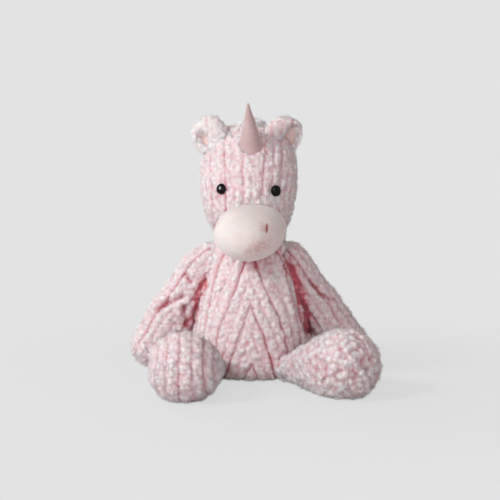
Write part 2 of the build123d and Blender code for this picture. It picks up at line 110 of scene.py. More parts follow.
class Skin:
    """A closed surface on a grid: rows from pole to pole, columns all the way round. Millimetres.

    P holds the points and rest the points before pile was raised. pile is 0 at the backing and 1 at the
    tips, and bare is the share of fibres left out."""

    def __init__(self, rows, step, turn=0.0):
        """rows are control rows (z, half x, half y, centre x, centre y) from pole to pole. The half y is the
        half x, and the centre 0, where a row leaves them out."""
        rows = np.array([(*r, r[-1] if len(r) == 2 else 0, 0, 0)[:5] for r in rows], float)
        chord = np.sqrt((np.diff(rows[:, :3], axis=0) ** 2).sum(1))
        at = np.concatenate([[0], np.cumsum(chord)])
        fine = self.through(at, rows, np.linspace(0, at[-1], 600))
        length = np.concatenate([[0], np.cumsum(np.sqrt((np.diff(fine[:, :3], axis=0) ** 2).sum(1)))])
        self.nv = max(8, int(length[-1] / step))
        self.nu = max(12, int(TAU * np.max((fine[:, 1] + fine[:, 2]) / 2) / step))
        where = np.linspace(0, length[-1], self.nv + 2)
        r = np.stack([np.interp(where, length, fine[:, k]) for k in range(5)], 1)
        angle = (TAU * np.arange(self.nu) / self.nu)[None, :] + turn
        self.angle = angle * np.ones((self.nv, 1))
        z, a, b, cx, cy = (r[1:-1, k][:, None] for k in range(5))
        self.P = np.stack([cx + a * np.cos(angle), cy + b * np.sin(angle), z * np.ones_like(angle)], -1)
        self.poles = np.array([[r[0, 3], r[0, 4], r[0, 0]], [r[-1, 3], r[-1, 4], r[-1, 0]]])
        self.radius = np.sqrt((a * a + b * b) / 2) * np.ones_like(angle)
        self.rest = self.P.copy()
        self.pile = np.ones(self.P.shape[:2])
        self.bare = np.zeros(self.P.shape[:2])

    @staticmethod
    def through(at, rows, x):
        """A smooth line through the rows, without overshoot."""
        step = np.diff(at)[:, None]
        slope = np.diff(rows, axis=0) / step
        tangent = np.zeros_like(rows)
        tangent[0], tangent[-1] = slope[0], slope[-1]
        same = slope[1:] * slope[:-1] > 0
        tangent[1:-1] = np.where(same, (slope[1:] + slope[:-1]) / 2, 0)
        i = np.clip(np.searchsorted(at, x) - 1, 0, len(at) - 2)
        t = ((x - at[i]) / step[i, 0])[:, None]
        h = step[i]
        return (
            (2 * t**3 - 3 * t**2 + 1) * rows[i]
            + (t**3 - 2 * t**2 + t) * h * tangent[i]
            + (3 * t**2 - 2 * t**3) * rows[i + 1]
            + (t**3 - t**2) * h * tangent[i + 1]
        )

    def move(self, origin, x, y, z):
        """Puts the surface in a frame."""
        m = np.array([x, y, z], float)
        self.P = self.P @ m + origin
        self.poles = self.poles @ m + origin
        self.rest = self.P.copy()
        return self

    def put(self, points, ends):
        """Gives the surface other points, rows by columns, and other poles."""
        self.P, self.poles = points, np.array(ends)
        self.nv, self.nu = points.shape[:2]
        self.rest, self.pile, self.bare = points.copy(), np.ones(points.shape[:2]), np.zeros(points.shape[:2])
        return self

    def normals(self):
        across = np.roll(self.P, -1, 1) - np.roll(self.P, 1, 1)
        full = np.concatenate([np.broadcast_to(self.poles[0], (1, self.nu, 3)), self.P,
                               np.broadcast_to(self.poles[1], (1, self.nu, 3))])
        n = np.cross(across, full[2:] - full[:-2])
        n /= np.linalg.norm(n, axis=-1, keepdims=True) + 1e-9
        middle = self.P.reshape(-1, 3).mean(0)
        return n if ((self.P - middle) * n).sum() > 0 else -n

    def soft_normals(self, passes=3):
        n = self.normals()
        for _ in range(passes):
            n = n + np.roll(n, 1, 1) + np.roll(n, -1, 1)
            n[1:-1] += n[:-2] + n[2:]
            n /= np.linalg.norm(n, axis=-1, keepdims=True) + 1e-9
        return n

    def raise_by(self, h):
        """Moves the surface out along its own direction."""
        self.P = self.P + self.soft_normals() * h[..., None]
        self.poles[0] = self.P[0].mean(0)
        self.poles[1] = self.P[-1].mean(0)

    def plush(self, across, seed, rib=2.3, tuft=1.9, tuft_size=4.9, pitch=RIB, fade=1.0, even=0.0, gap_shade=0.0):
        """Ribbed, tufted pile. across is the distance over the ribs, mm. rib and tuft are heights, fade
        scales the ribs, even makes the grooves alike and the last argument darkens the pile between tufts: partly
        the rose backing, partly painted shade."""
        p = self.rest
        wander = 1.5 * drift(p, 26, seed) + 0.8 * drift(p, 8, seed + 1)
        phase = (across + wander) / pitch
        valley = np.floor(phase + 0.5)
        f = np.abs(phase - np.floor(phase) - 0.5) * 2
        ridge = np.clip(1 - f**2.6, 0, 1) ** 0.65
        own = hashed(np.stack([valley, valley * 0, valley * 0], -1), seed + 6)[..., 0]
        strong = np.where(valley % 2 == 0, 0.8 + 0.35 * own, 0.15 + 0.45 * own)
        depth = strong + (0.9 - strong) * even + 0.3 * drift(p, 30, seed + 5)
        shift = np.stack([drift(p, 7, seed + k) for k in (7, 8, 9)], -1)
        bump, tone = tufts(p + 0.9 * shift, tuft_size, seed + 2)
        small, _ = tufts(p, tuft_size * 0.42, seed + 3)
        rib_h = 1 - (1 - ridge) * np.clip(depth, 0.1, 1.15) * fade
        h = rib * rib_h + tuft * bump * (0.4 + 0.6 * ridge) * (0.55 + 0.9 * tone) + 0.4 * small
        pile = 0.02 + 0.5 * rib_h + 0.42 * bump * rib_h + 0.08 * small + 0.2 * (tone - 0.5)
        self.pile = np.clip(np.clip(pile, 0, 1) - gap_shade * (0.75 - bump), 0, 1)
        self.raise_by(h - rib - 0.45 * tuft)
        return self

    def floor(self, low=0.4, soft=2):
        """Nothing goes below the floor; pile that meets it lies flat."""
        z = self.P[..., 2]
        lifted = low + soft * np.exp(np.minimum(z - low - soft, 0) / soft)
        self.P[..., 2] = np.where(z < low + soft, lifted, z)
        self.poles[:, 2] = np.maximum(self.poles[:, 2], low)
        return self

    def mesh(self, name, material):
        nu, nv = self.nu, self.nv
        verts = np.concatenate([self.P.reshape(-1, 3), self.poles]) * MM
        j = np.arange(nu)
        k = (j + 1) % nu
        i = (np.arange(nv - 1) * nu)[:, None]
        quads = np.stack([i + j, i + k, i + nu + k, i + nu + j], -1).reshape(-1, 4)
        low, high, last = nu * nv, nu * nv + 1, (nv - 1) * nu
        fans = np.concatenate([np.stack([np.full(nu, low), k, j], 1),
                               np.stack([np.full(nu, high), last + j, last + k], 1)])
        ju, ii = j[None, :], np.arange(nv - 1)[:, None]
        u0, u1 = (ju / nu) * np.ones_like(ii), ((ju + 1) / nu) * np.ones_like(ii)
        v0, v1 = ((ii + 1) / (nv + 1)) * np.ones_like(ju), ((ii + 2) / (nv + 1)) * np.ones_like(ju)
        quv = np.stack([np.stack([u0, v0], -1), np.stack([u1, v0], -1), np.stack([u1, v1], -1),
                        np.stack([u0, v1], -1)], 2).reshape(-1, 2)
        a, b = j / nu, (j + 1) / nu
        mid, one = (a + b) / 2, np.ones(nu)
        first, last_v = one / (nv + 1), one * nv / (nv + 1)
        fans_uv = [[(mid, 0 * one), (b, first), (a, first)], [(mid, one), (a, last_v), (b, last_v)]]
        fuv = np.concatenate([np.stack([np.stack(c, -1) for c in fan], 1) for fan in fans_uv]).reshape(-1, 2)
        facing = np.cross(np.roll(self.P, -1, 1) - self.P, np.roll(self.P, -1, 0) - self.P)[nv // 2]
        if ((self.P[nv // 2] - self.P.reshape(-1, 3).mean(0)) * facing).sum() <= 0:
            quads, fans = quads[:, ::-1], fans[:, ::-1]
            quv = quv.reshape(-1, 4, 2)[:, ::-1].reshape(-1, 2)
            fuv = fuv.reshape(-1, 3, 2)[:, ::-1].reshape(-1, 2)
        pole_pile = [self.pile[0].mean(), self.pile[-1].mean()]
        rest = np.concatenate([self.rest.reshape(-1, 3), self.poles]) * MM
        bare = np.concatenate([self.bare.ravel(), [self.bare[0].mean(), self.bare[-1].mean()]])
        return make_mesh(name, verts, [quads, fans], np.concatenate([quv, fuv]), material,
                         {"pile": np.concatenate([self.pile.ravel(), pole_pile]), "bare": bare}, rest)


def make_mesh(name, verts, faces, uv, material, values, rest):
    """An object from arrays: faces is a list of arrays, one for each number of corners."""
    me = bpy.data.meshes.new(name)
    me.vertices.add(len(verts))
    me.vertices.foreach_set("co", np.ascontiguousarray(verts, np.float32).ravel())
    corners = np.concatenate([f.ravel() for f in faces]).astype(np.int32)
    sizes = np.concatenate([np.full(len(f), f.shape[1]) for f in faces])
    me.loops.add(len(corners))
    me.loops.foreach_set("vertex_index", corners)
    me.polygons.add(len(sizes))
    me.polygons.foreach_set("loop_start", np.concatenate([[0], np.cumsum(sizes)[:-1]]).astype(np.int32))
    me.polygons.foreach_set("use_smooth", np.full(len(sizes), True))
    me.update(calc_edges=True)
    layer = me.uv_layers.new(name="OFBake")
    layer.data.foreach_set("uv", np.ascontiguousarray(uv, np.float32).ravel())
    for key, value in values.items():
        me.attributes.new(key, "FLOAT", "POINT").data.foreach_set("value", value.astype(np.float32))
    places = me.attributes.new("rest", "FLOAT_VECTOR", "POINT")
    places.data.foreach_set("vector", np.ascontiguousarray(rest, np.float32).ravel())
    me.materials.append(material)
    ob = bpy.data.objects.new(name, me)
    bpy.context.scene.collection.objects.link(ob)
    return ob


def roots_on(skin, count, seed, keep):
    """Evenly scattered roots on a skin: places, directions, pile values, rest places and the generator."""
    rng = np.random.default_rng(seed)
    n = skin.soft_normals(2)
    d1 = np.roll(skin.P, -1, 1) - skin.P
    d2 = np.concatenate([skin.P[1:] - skin.P[:-1], skin.P[-1:] - skin.P[-2:-1]])
    area = np.linalg.norm(np.cross(d1, d2), axis=-1)[:-1]
    pick = np.searchsorted(np.cumsum(area.ravel()), rng.random(count) * area.sum())
    pick = np.minimum(pick, area.size - 1)
    i, j = np.divmod(pick, skin.nu)
    fu, fv = rng.random(count)[:, None], rng.random(count)[:, None]
    jk = (j + 1) % skin.nu

    def at(grid):
        grid = grid if grid.ndim == 3 else grid[..., None]
        low = grid[i, j] * (1 - fu) + grid[i, jk] * fu
        return low * (1 - fv) + (grid[i + 1, j] * (1 - fu) + grid[i + 1, jk] * fu) * fv

    p, d, pile, rest = at(skin.P), at(n), at(skin.pile)[:, 0], at(skin.rest)
    bare = at(skin.bare)[:, 0]
    chosen = rng.random(count) > bare
    if keep is not None:
        chosen &= keep(p)
    d = d / np.linalg.norm(d, axis=1, keepdims=True)
    return p[chosen], d[chosen], pile[chosen], rest[chosen], rng


def fuzz(name, skin, count, material, seed, long=2.6, width=0.27, lean=(0, 0, -0.35), spread=0.5, keep=None):
    """Fine fibres standing in a skin's pile, each a closed spike. keep(places) says where they may stand."""
    p, d, pile, rest, rng = roots_on(skin, int(count * QUICK), seed, keep)
    m = len(p)
    clump = np.stack([drift(rest, 4.5, seed + k) for k in (1, 2, 3)], 1)
    way = 0.6 * d + np.array(lean) + 0.55 * clump + spread * rng.normal(size=(m, 3)) * 0.6
    way -= np.minimum((way * d).sum(1, keepdims=True) - 0.25, 0) * d
    way /= np.linalg.norm(way, axis=1, keepdims=True)
    reach = long * (0.55 + 0.65 * rng.random(m))[:, None]
    t1 = np.cross(way, rng.normal(size=(m, 3)))
    t1 /= np.linalg.norm(t1, axis=1, keepdims=True) + 1e-9
    t2 = np.cross(way, t1)
    w = width * (0.7 + 0.6 * rng.random(m))[:, None]
    root = p - 0.5 * d
    tip = p + way * reach
    tip[:, 2] = np.maximum(tip[:, 2], 0.15)
    ring = [root + w * (math.cos(a) * t1 + math.sin(a) * t2) for a in (0, TAU / 3, 2 * TAU / 3)]
    ring = [np.concatenate([r[:, :2], np.maximum(r[:, 2:], 0.1)], 1) for r in ring]
    verts = np.stack(ring + [tip], 1).reshape(-1, 3)
    base = (4 * np.arange(m))[:, None]
    corners = ([0, 1, 3], [1, 2, 3], [2, 0, 3], [0, 2, 1])
    faces = np.stack([base + c for c in corners], 1).reshape(-1, 3)
    side = math.ceil(math.sqrt(m))
    cell = np.stack([np.arange(m) % side, np.arange(m) // side], 1) / side
    low, right, top = (np.array(q) / side for q in ((0.1, 0.1), (0.9, 0.1), (0.5, 0.95)))
    tri = np.stack([cell + low, cell + right, cell + top], 1)
    flat = np.stack([cell + low, cell + right, cell + (low + right) / 2], 1)
    uv = np.stack([tri, tri, tri, flat], 1).reshape(-1, 2)
    tipness = np.tile([0, 0, 0, 1.0], m)
    tone = np.repeat(rng.random(m), 4)
    return make_mesh(name, verts * MM, [faces], uv, material,
                     {"pile": np.repeat(pile, 4), "tip": tipness, "tone": tone}, np.repeat(rest, 4, 0) * MM)


# ---------------------------------------------------------------- materials


def rgb(*screen):
    """A linear colour from 0-255 screen values."""
    shares = [c / 255 for c in screen]
    return tuple(c / 12.92 if c <= 0.04045 else ((c + 0.055) / 1.055) ** 2.4 for c in shares) + (1,)


class Shader:
    """A material being built from nodes."""

    def __init__(self, name):
        self.material = bpy.data.materials.new(name)
        self.material.use_nodes = True
        self.tree = self.material.node_tree
        self.tree.nodes.clear()
        self.out = self.add("ShaderNodeOutputMaterial")
        self.body = self.add("ShaderNodeBsdfPrincipled")
        self.link(self.body.outputs[0], self.out.inputs[0])

    def add(self, kind, **settings):
        node = self.tree.nodes.new(kind)
        for key, value in settings.items():
            setattr(node, key, value)
        return node

    def link(self, a, b):
        self.tree.links.new(a, b)

    def set(self, **values):
        for key, value in values.items():
            self.body.inputs[key.replace("_", " ")].default_value = value
        return self

    def attribute(self, name):
        node = self.add("ShaderNodeAttribute", attribute_name=name)
        return node.outputs["Vector" if name == "rest" else "Fac"]

    def noise(self, scale, detail=3.0, rough=0.55):
        node = self.add("ShaderNodeTexNoise")
        node.inputs["Scale"].default_value = scale
        node.inputs["Detail"].default_value = detail
        node.inputs["Roughness"].default_value = rough
        self.link(self.attribute("rest"), node.inputs["Vector"])
        return node.outputs["Fac"]

    def math(self, kind, a, b=0.5):
        node = self.add("ShaderNodeMath", operation=kind)
        for socket, value in zip(node.inputs, (a, b)):
            if isinstance(value, (int, float)):
                socket.default_value = value
            else:
                self.link(value, socket)
        return node.outputs[0]

    def ramp(self, value, stops):
        node = self.add("ShaderNodeValToRGB")
        edge = node.color_ramp.elements
        while len(edge) < len(stops):
            edge.new(0.5)
        for element, (at, colour) in zip(edge, stops):
            element.position = at
            element.color = colour
        self.link(value, node.inputs[0])
        return node.outputs[0]

    def mix(self, share, a, b, kind="MIX"):
        node = self.add("ShaderNodeMix", data_type="RGBA", blend_type=kind)
        for socket, value in zip((node.inputs[0], node.inputs[6], node.inputs[7]), (share, a, b)):
            if isinstance(value, (int, float, tuple)):
                socket.default_value = value
            else:
                self.link(value, socket)
        return node.outputs[2]

    def bump(self, height, strength, distance):
        node = self.add("ShaderNodeBump")
        node.inputs["Strength"].default_value = strength
        node.inputs["Distance"].default_value = distance
        self.link(height, node.inputs["Height"])
        self.link(node.outputs[0], self.body.inputs["Normal"])
        return self

    def colour(self, socket):
        self.link(socket, self.body.inputs["Base Color"])
        return self


DEEP, ROSE, PINK = rgb(196, 76, 94), rgb(224, 142, 152), rgb(237, 199, 204)
PALE, TIP = rgb(244, 223, 226), rgb(250, 241, 241)


def plush_material(name, shades, blend):
    """Five shades from the backing to the tips, with a soft blotch of the blend colour."""
    s = Shader(name)
    grain = s.math("SUBTRACT", s.noise(420, 2.0), 0.5)
    pile = s.math("ADD", s.attribute("pile"), s.math("MULTIPLY", grain, 0.16))
    col = s.ramp(pile, list(zip((0.0, 0.2, 0.42, 0.68, 0.95), shades)))
    s.colour(s.mix(s.math("MULTIPLY", s.noise(55, 2.0), 0.2), col, blend))
    s.set(Roughness=0.92, Sheen_Weight=0.3, Sheen_Roughness=0.5)
    s.set(Subsurface_Weight=0.4, Subsurface_Scale=0.006)
    s.body.inputs["Subsurface Radius"].default_value = (1.0, 0.45, 0.4)
    s.bump(s.noise(900, 3.0, 0.7), 0.6, 0.0006)
    return s.material


def fibre_material(name, root, low, high, tip):
    s = Shader(name)
    up = s.math("ADD", s.math("MULTIPLY", s.attribute("tip"), 0.3), 0.82)
    own = s.math("MULTIPLY", s.math("SUBTRACT", s.attribute("tone"), 0.5), 0.06)
    place = s.math("ADD", s.math("MULTIPLY", s.attribute("pile"), up), own)
    s.colour(s.ramp(place, [(0.05, root), (0.3, low), (0.55, high), (0.95, tip)]))
    s.set(Roughness=0.95, Sheen_Weight=0.1, Subsurface_Weight=0.25, Subsurface_Scale=0.002)
    return s.material


def velour_material(name, dark, mid, light, patch=None, sheen=0.5):
    """Short nap; the patch colour speckles it where a skin is bare."""
    s = Shader(name)
    fine, broad = s.noise(650, 3.0, 0.65), s.noise(70, 3.0)
    nap = s.math("ADD", s.math("MULTIPLY", fine, 0.5), s.math("MULTIPLY", broad, 0.5))
    col = s.ramp(nap, [(0.3, dark), (0.5, mid), (0.7, light)])
    if patch:
        speck = s.ramp(s.noise(330, 3.0, 0.7), [(0.38, (0.12, 0.12, 0.12, 1)), (0.62, (0.9, 0.9, 0.9, 1))])
        col = s.mix(s.math("MULTIPLY", s.attribute("bare"), speck), col, patch)
    s.colour(col)
    s.set(Roughness=0.85, Sheen_Weight=sheen, Sheen_Roughness=0.35)
    s.set(Subsurface_Weight=0.2, Subsurface_Scale=0.003)
    s.bump(s.noise(1500, 3.0, 0.7), 0.5, 0.0004)
    return s.material


def thread_material(name, dark, light):
    s = Shader(name)
    s.colour(s.ramp(s.noise(1500, 2.0), [(0.35, dark), (0.65, light)]))
    s.set(Roughness=0.6, Sheen_Weight=0.3)
    s.bump(s.noise(2500, 2.0), 0.5, 0.0002)
    return s.material


def plain_material(name, dark, light, rough, scale=300.0, **more):
    """For CAD nodes inside the toy: its texture follows the object's own coordinates."""
    s = Shader(name)
    where = s.add("ShaderNodeTexCoord")
    grain = s.add("ShaderNodeTexNoise")
    grain.inputs["Scale"].default_value = scale
    s.link(where.outputs["Object"], grain.inputs["Vector"])
    s.colour(s.ramp(grain.outputs["Fac"], [(0.35, dark), (0.65, light)]))
    s.set(Roughness=rough, **more)
    s.bump(grain.outputs["Fac"], 0.3, 0.0005)
    return s.material


def eye_material():
    s = Shader("eye_black")
    where = s.add("ShaderNodeTexCoord")
    grain = s.add("ShaderNodeTexNoise")
    grain.inputs["Scale"].default_value = 400
    s.link(where.outputs["Object"], grain.inputs["Vector"])
    s.colour(s.ramp(grain.outputs["Fac"], [(0.3, rgb(8, 5, 5)), (0.7, rgb(16, 11, 10))]))
    s.link(s.math("MULTIPLY", grain.outputs["Fac"], 0.2), s.body.inputs["Roughness"])
    s.set(IOR=1.24)
    return s.material


PLUSH = plush_material("ribbed_plush", (DEEP, ROSE, PINK, PALE, TIP), rgb(244, 216, 219))
CREAM, MILK = rgb(251, 247, 246), rgb(253, 251, 250)
COTTON = plush_material("white_plush", (rgb(226, 214, 211), rgb(238, 228, 226), rgb(247, 241, 240), CREAM, MILK),
                        rgb(250, 245, 243))
FIBRE = fibre_material("plush_fibre", rgb(205, 108, 122), PINK, PALE, TIP)
WHITE = fibre_material("white_fibre", rgb(246, 240, 238), CREAM, MILK, rgb(254, 253, 253))
MUZZLE = velour_material("muzzle_velour", rgb(225, 211, 207), rgb(232, 221, 218), rgb(237, 228, 226),
                         patch=rgb(206, 150, 144))
HORN = velour_material("horn_velour", rgb(189, 160, 158), rgb(199, 172, 170), rgb(208, 184, 182), sheen=1.0)
LINING = velour_material("ear_velour", rgb(232, 200, 192), rgb(239, 211, 204), rgb(245, 221, 215))
NOSTRIL = thread_material("nostril_thread", rgb(120, 66, 62), rgb(160, 96, 90))
STITCH = thread_material("pink_thread", rgb(214, 160, 164), rgb(230, 186, 190))

# ---------------------------------------------------------------- frames of the CAD's limbs


def unit(v):
    v = np.array(v, float)
    return v / np.linalg.norm(v)


def along(start, end):
    """Axes whose z runs from start to end, with x level."""
    z = unit(np.array(end) - np.array(start))
    x = np.cross([0, 0, 1], z)
    x = unit(x) if np.linalg.norm(x) > 1e-6 else np.array([1.0, 0, 0])
    return x, np.cross(z, x), z


def done(skin, name, body, nodes, material=PLUSH, bend=None):
    """A skin as a piece on its body."""
    ob = skin.mesh(name, material)
    settle(ob, body, nodes, bend)
    return ob


def settle(ob, body, nodes=(), bend=None):
    """Puts a piece on the body it rides on, or, given bend, bakes its place into its mesh, and hides the CAD nodes
    it replaces.
    """
    if bend:
        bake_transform(ob)
    else:
        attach(ob, body)
    if nodes:
        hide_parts(*nodes)
    return ob


QUICK = 1.0
STEP = 0.95  # grid step of the plush skins, mm

# ---------------------------------------------------------------- torso

HIPS = {s: np.array([SIDES[s] * 36.24, -43.15, 15.0]) for s in SIDES}
FEET = {"left": np.array([89.31, -106.39, 30.5]), "right": np.array([-61.75, -121.67, 30.5])}


def near_line(p, a, b):
    """Distance from points to a segment."""
    a, b = np.array(a, float), np.array(b, float)
    t = np.clip(((p - a) @ (b - a)) / ((b - a) @ (b - a)), 0, 1)
    return np.linalg.norm(p - (a + t[..., None] * (b - a)), axis=-1)


def shaded_crease(skin, points, depth, width):
    """A fold sunk into a skin's front along a line of points (x, z); its bottom is darkened to rose, partly the
    backing showing and partly painted shade in the fold.
    """
    points = [(x, 0, z) for x, z in points]
    d = np.min([near_line(skin.rest * (1, 0, 1), a, b) for a, b in zip(points, points[1:])], axis=0)
    close = np.exp(-((d + 0.8 * drift(skin.rest, 5, 7)) / width) ** 2) * ramp(-skin.rest[..., 1], -8, 2)
    skin.raise_by(depth * (0.45 * np.exp(-(((d - 2.2 * width) / width) ** 2)) - close))
    skin.pile = np.clip(skin.pile - 0.55 * close, 0, 1)


def parted_and_shaded(skin, gap, reach, amount):
    """Where another piece lies against a skin's front, its pile is darkened to rose and its fibres thinned: partly
    pile spread apart down to the rose backing, partly painted shade between the pieces.
    """
    close = np.exp(-(np.maximum(gap, 0) / reach) ** 2) * ramp(-skin.rest[..., 1], -14, 0)
    skin.pile = np.clip(skin.pile - amount * close, 0, 1)
    skin.bare = np.maximum(skin.bare, 0.7 * amount * close)


# the CAD's torso: height, half width, half depth and middle y
TORSO_ROWS = np.array([(0, 47.2, 40, 0), (9.7, 56, 50.2, 0.6), (38.6, 59, 54, 2.2), (75.9, 54.9, 50.2, 4.4),
                       (106.3, 47.2, 43.2, 6.2), (128.3, 38.9, 36.7, 7.4), (138, 34.8, 32.4, 8)], float)
TORSO_TOP = 138


def gap_to_torso(p):
    """How far points are from the torso's side."""
    a, b, yc = (np.interp(p[..., 2], TORSO_ROWS[:, 0], TORSO_ROWS[:, k]) for k in (1, 2, 3))
    share = np.sqrt((p[..., 0] / a) ** 2 + ((p[..., 1] - yc) / b) ** 2)
    return (share - 1) * a + np.maximum(p[..., 2] - TORSO_TOP, 0)


def arm_line(side):
    """An arm's top and hand."""
    return np.array([SIDES[side] * 31.0, 8, 119.5]), np.array([SIDES[side] * 100.0, 8, 26.5])


torso = Skin([(1.6, 0), (1.2, 24, 22), (1.4, 42, 37), (5, 50.5, 45, 0.4, 0.3), (12, 55, 49.5, 1, 0.8),
              (38, 59.2, 52.5, 1.7, 2.2), (60, 57, 51.2, 1.2, 3.6), (78, 53.5, 48.4, 0.5, 4.5),
              (107, 45.6, 42, 0, 6.2), (128, 38, 35.5, 0, 7.5), (134.5, 34, 32, 0, 8), (137.6, 24, 22, 0, 8),
              (138, 0, 0, 0, 8)], STEP, turn=BACK)
reach = (torso.angle - FRONT) * torso.radius
lean = np.radians(20 - 7 * ramp(np.abs(reach), 10, 45))
over = np.abs(reach) * np.cos(lean) + (torso.rest[..., 2] - 20) * np.sin(lean)
torso.plush(over, 11, rib=2.6)
ARMPIT_SHADE_HEIGHTS = {"left": (128, 108), "right": (112, 92)}  # where an armpit's pile is spread apart and painted with shade, fading in between these heights
ARMPIT_SHADE_AMOUNT = {"left": 0.85, "right": 0.72}  # how far it is spread apart and painted with shade
HIP_HALF, FOOT_HALF, ARM_HALF = 14, 32, 19  # half thickness of the limbs, mm


def armpit_shade(skin, side):
    """How far a skin's pile is spread apart and painted with shade at an armpit."""
    high, low = ARMPIT_SHADE_HEIGHTS[side]
    return ARMPIT_SHADE_AMOUNT[side] * ramp(-skin.rest[..., 2], -high, -low)


# painted shade, with the pile partly spread apart, where the legs and arms lie against the torso
for side in SIDES:
    parted_and_shaded(torso, near_line(torso.rest, HIPS[side], FEET[side]) - HIP_HALF, 7, 0.2)
    parted_and_shaded(torso, near_line(torso.rest, *arm_line(side)) - ARM_HALF, 7, armpit_shade(torso, side))
# painted shade on the chest under the muzzle, with the pile partly spread apart
shade_under_chin = np.linalg.norm((torso.rest - (6, -38, 126)) * (0.8, 0.9, 1.0), axis=-1) - 8
parted_and_shaded(torso, shade_under_chin, 9, 0.45)
# a fold with painted shade in it, between the torso and its left arm
shaded_crease(torso, [(36, 122), (41, 104), (45, 88), (50, 66), (58, 44)], 3.4, 3.4)
torso.floor()
done(torso, "torso_plush", "torso",
     ["torso_front_left", "torso_front_right", "torso_back_left", "torso_back_right", "torso_base"])
settle(fuzz("torso_pile", torso, 46000, FIBRE, 21, keep=lambda p: p[:, 2] < TORSO_TOP - 4), "torso")

# ---------------------------------------------------------------- head

head = Skin([(139, 0, 0, 0, 8), (138.6, 20, 16, 0, 8), (139.6, 30, 26, 0, 7.5), (145, 34.5, 33, -0.5, 5),
             (151, 37.5, 37, -1, 2), (166, 42.8, 46.5, -1.4, -4), (185, 46, 49.6, -1.4, -4),
             (205, 46.8, 44.6, -1.2, 0), (224.6, 43.8, 36.0, -0.6, 5), (239, 36.5, 25.6, 0, 9),
             (247, 24, 15.5, 0, 10), (249.5, 11, 7, 0, 10), (250, 0, 0, 0, 10)], STEP, turn=BACK)
head.plush((head.angle - FRONT) * head.radius + RIB / 2, 31, rib=1.8, tuft_size=4.7,
           fade=1 - 0.65 * ramp(head.rest[..., 2], 222, 240))
for place in ((41, -9, 230), (-40, -9, 228)):  # hollows in front of the ears
    head.raise_by(-2.8 * np.exp(-(np.linalg.norm(head.rest - place, axis=-1) / 11) ** 2))
EYES = {"left": np.array([25.4, -46.4, 189.2]), "right": np.array([-28.0, -43.9, 191.0])}
for side, eye_at in EYES.items():
    off = head.rest - eye_at
    away = np.linalg.norm(off, axis=-1)
    flat = np.sqrt(off[..., 0] ** 2 + off[..., 1] ** 2)
    hollow = np.exp(-(flat / 3.8) ** 2 - (off[..., 2] / 9) ** 2)
    head.raise_by(-2.6 * hollow - 0.9 * np.exp(-(away / 10) ** 2))
    # the pile round each eye is darkened to rose: partly pile drawn in, partly painted shade in the hollow
    head.pile = np.clip(head.pile - 0.42 * np.exp(-(away / 8.5) ** 2), 0, 1)
    head.bare = np.maximum(head.bare, 1 - ramp(away, 4.4, 6.2))
HORN_AT, HORN_END = np.array([1.0, -22.0, 228.5]), np.array([-2.0, -37.0, 273.0])
off = near_line(head.rest, HORN_AT * 2 - HORN_END, HORN_END)
head.raise_by(2.2 * np.exp(-((off - 14) / 3.5) ** 2))
# painted shadow: the pile at the horn's base is darkened on its +x side only, where the horn shades the head
head.pile = np.clip(head.pile - 0.3 * np.exp(-((off - 12) / 2.5) ** 2) * (head.rest[..., 0] > 0), 0, 1)
done(head, "head_plush", "head",
     ["head_face", "head_side_left", "head_side_right", "head_back"])

BLACK = eye_material()
for side, eye_at in EYES.items():
    # a glossy oval dome, flattened in front, on its shank
    z = unit({"left": (0.52, -0.85, 0.08), "right": (-0.395, -0.854, 0.338)}[side])
    x = unit(np.cross([0, 0, 1], z))
    wide, tall = {"left": (4.9, 5.5), "right": (4.7, 5.3)}[side]
    profile = [(-8.0, 0), (-7.9, 0.26), (-4.0, 0.28), (-3.2, 0.34), (-2.9, 0.8), (-2.4, 0.96), (-0.6, 1.0),
               (0.8, 0.96), (1.7, 0.84), (2.38, 0.62), (2.68, 0.38), (2.752, 0.2), (2.78, 0)]
    dome = Skin([(h, k * wide, k * tall) for h, k in profile], 0.35).move(eye_at, x, np.cross(z, x), z)
    settle(dome.mesh("eye_dome_" + side, BLACK), "head", ["eye_" + side])

MUZZLE_AT = np.array([0, -53.0, 151.0])
MUZZLE_CAD = np.array([35, 47, 25.5])  # half width, depth and height of the CAD's muzzle
MUZZLE_HALF = (34.3, 46.4, 25)  # and of the velour
turn, droop = math.radians(-10), math.radians(10)
spin = np.array([[math.cos(turn), -math.sin(turn), 0], [math.sin(turn), math.cos(turn), 0], [0, 0, 1]])
dip = np.array([[1, 0, 0], [0, math.cos(droop), -math.sin(droop)], [0, math.sin(droop), math.cos(droop)]])
NOSE = spin @ dip  # columns are the muzzle's own x, y and z


def outside_muzzle(p, room):
    q = (p - MUZZLE_AT) @ NOSE / (MUZZLE_CAD + room)
    return (q**2).sum(-1) > 1


settle(fuzz("head_pile", head, 40000, FIBRE, 41, long=2.5, lean=(0, 0, -0.3),
            keep=lambda p: outside_muzzle(p, -2.0)), "head")


def muzzle_face(x, z):
    """The muzzle's own y of its face at its own x and z."""
    a, b, c = MUZZLE_HALF
    return -b * math.sqrt(max(0.0, 1 - (x / a) ** 2 - (z / c) ** 2))


muzzle = Skin([(-37.5, 0), (-37, 14, 10), (-34.5, 22, 16), (-31, 26, 19), (-24, 30.4, 22.2), (-10, 34.0, 24.8),
               (3, 34.3, 25.0), (16, 32.6, 23.8, 0, 0.2), (27, 28.6, 20.8, 0, 0.2), (36, 22.2, 16.2),
               (42, 15.5, 11.3), (45.3, 8.2, 6.0), (46.4, 0)], 0.8)
